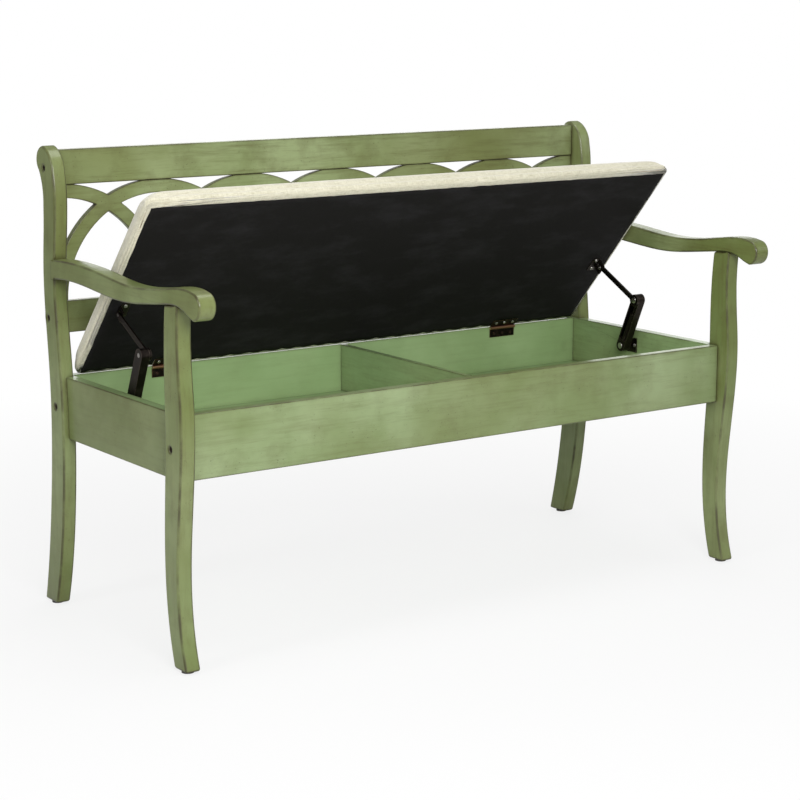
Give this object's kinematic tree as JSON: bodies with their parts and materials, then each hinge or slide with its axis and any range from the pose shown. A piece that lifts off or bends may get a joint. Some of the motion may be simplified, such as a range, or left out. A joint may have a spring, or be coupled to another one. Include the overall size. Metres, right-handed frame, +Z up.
{
  "type": "settle bench",
  "caption": "Painted wooden settle bench with arms, an interlaced-arch back and a padded seat that lifts on hinges and lid stays over a divided storage box",
  "frame": {"origin": "on the floor, under the middle of the bench's outer size", "axes": "+X to the right along the bench as seen from the front, +Y from front to back, +Z up"},
  "size_m": [1.284, 0.629, 0.8723],
  "materials": {
    "painted_wood": "sage green milk paint, rubbed through at the edges, brown glaze",
    "box_paint": "cool green paint, lightly glazed",
    "bare_wood": "unfinished plywood",
    "linen": "cream linen weave, matt",
    "cambric": "black dust cover cloth",
    "black_steel": "black oxide",
    "zinc_steel": "zinc plated",
    "stay_steel": "dull bronzed steel",
    "aged_bronze": "antique bronze, worn at the knuckles",
    "nylon": "matt"
  },
  "bodies": {
    "frame": {"left_rear_post": "painted_wood", "left_front_leg": "painted_wood", "left_arm": "painted_wood", "left_apron": "painted_wood", "left_stay_foot_bracket": "stay_steel", "left_foot_bracket_screws": "zinc_steel", "right_rear_post": "painted_wood", "right_front_leg": "painted_wood", "right_arm": "painted_wood", "right_apron": "painted_wood", "right_stay_foot_bracket": "stay_steel", "right_foot_bracket_screws": "zinc_steel", "top_rail": "painted_wood", "lower_back_rail": "painted_wood", "arch_splat": "painted_wood", "front_apron": "painted_wood", "rear_apron": "box_paint", "storage_divider": "box_paint", "storage_floor": "box_paint", "floor_cleats": "box_paint", "frame_bolts": "black_steel", "barrel_nuts": "zinc_steel", "arm_tenons": "bare_wood", "foot_glides": "nylon", "hinge_box_leaves": "aged_bronze", "hinge_pins": "zinc_steel", "hinge_box_screws": "zinc_steel"},
    "lid": {"lid_board": "bare_wood", "cover_wrap": "linen", "dust_cover": "cambric", "seat_pad": "linen", "hinge_lid_leaves": "aged_bronze", "hinge_lid_screws": "zinc_steel", "left_stay_top_bracket": "stay_steel", "left_top_bracket_screws": "zinc_steel", "right_stay_top_bracket": "stay_steel", "right_top_bracket_screws": "zinc_steel"},
    "left_housing": {"left_stay_housing": "stay_steel", "left_stay_damper": "zinc_steel", "left_elbow_pin": "zinc_steel"},
    "left_stay_lever": {"left_stay_arm": "stay_steel", "left_top_pin": "zinc_steel"},
    "right_housing": {"right_stay_housing": "stay_steel", "right_stay_damper": "zinc_steel", "right_elbow_pin": "zinc_steel"},
    "right_stay_lever": {"right_stay_arm": "stay_steel", "right_top_pin": "zinc_steel"}
  },
  "joints": [
    {"name": "lid_hinge", "type": "hinge", "parent": "frame", "child": "lid", "pos_m": [0, 0.2385, 0.4455], "axis": [-1, 0, 0], "range_deg": [-48.6, 0]},
    {"name": "left_stay_foot", "type": "hinge", "parent": "frame", "child": "left_housing", "pos_m": [-0.581, 0.05, 0.4155], "axis": [-1, 0, 0], "range_deg": [-65.97, 0]},
    {"name": "left_stay_elbow", "type": "hinge", "parent": "left_housing", "child": "left_stay_lever", "pos_m": [-0.5705, 0.0055, 0.5175], "axis": [-1, 0, 0], "range_deg": [0, 84.47]},
    {"name": "right_stay_foot", "type": "hinge", "parent": "frame", "child": "right_housing", "pos_m": [0.581, 0.05, 0.4155], "axis": [-1, 0, 0], "range_deg": [-65.97, 0]},
    {"name": "right_stay_elbow", "type": "hinge", "parent": "right_housing", "child": "right_stay_lever", "pos_m": [0.5705, 0.0055, 0.5175], "axis": [-1, 0, 0], "range_deg": [0, 84.47]}
  ],
  "couplings": [
    {"joint": "left_stay_foot", "follows": "lid_hinge", "ratio": 1.3573},
    {"joint": "left_stay_elbow", "follows": "lid_hinge", "ratio": -1.738},
    {"joint": "right_stay_foot", "follows": "lid_hinge", "ratio": 1.3573},
    {"joint": "right_stay_elbow", "follows": "lid_hinge", "ratio": -1.738}
  ]
}
